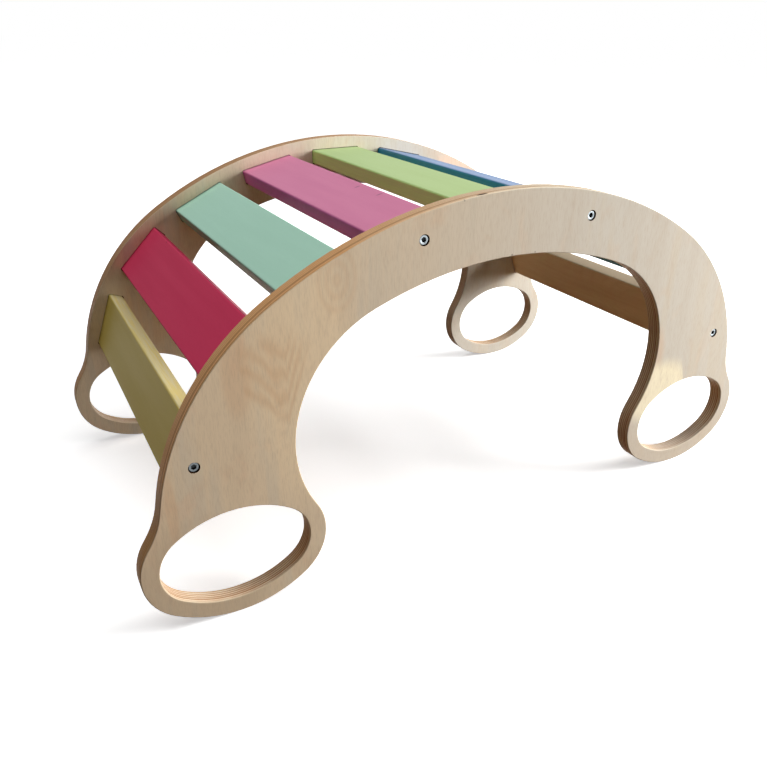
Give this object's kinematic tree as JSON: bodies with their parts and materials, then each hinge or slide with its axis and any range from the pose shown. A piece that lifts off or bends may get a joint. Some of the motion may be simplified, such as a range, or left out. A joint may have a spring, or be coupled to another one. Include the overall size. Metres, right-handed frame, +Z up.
{
  "type": "wooden rocker arch",
  "caption": "Arched climbing frame and rocker for a child's room: two bowed plywood side panels on oval ring feet, joined by painted slats.",
  "frame": {"origin": "on the floor under the middle of the arch, halfway between the side panels", "axes": "+X along the length from slat_1 to slat_9, +Y across from side_panel_front to side_panel_back, +Z up"},
  "size_m": [0.796, 0.426, 0.393],
  "materials": {
    "birch_plywood": "clear satin varnish",
    "paint_yellow": "satin paint",
    "paint_red": "satin paint",
    "paint_mint": "satin paint",
    "paint_pink": "satin paint",
    "paint_green": "satin paint",
    "paint_blue": "satin paint",
    "paint_orange": "satin paint",
    "paint_teal": "satin paint",
    "bare_wood": "clear satin varnish",
    "zinc_steel": "zinc plated",
    "insert_brass": "plain turned"
  },
  "bodies": {
    "root": {"side_panel_front": "birch_plywood", "side_panel_back": "birch_plywood", "slat_1": "paint_yellow", "slat_2": "paint_red", "slat_3": "paint_mint", "slat_4": "paint_pink", "slat_5": "paint_green", "slat_6": "paint_blue", "slat_7": "paint_orange", "slat_8": "paint_teal", "slat_9": "bare_wood", "bolts": "zinc_steel", "threaded_inserts": "insert_brass"}
  },
  "joints": []
}
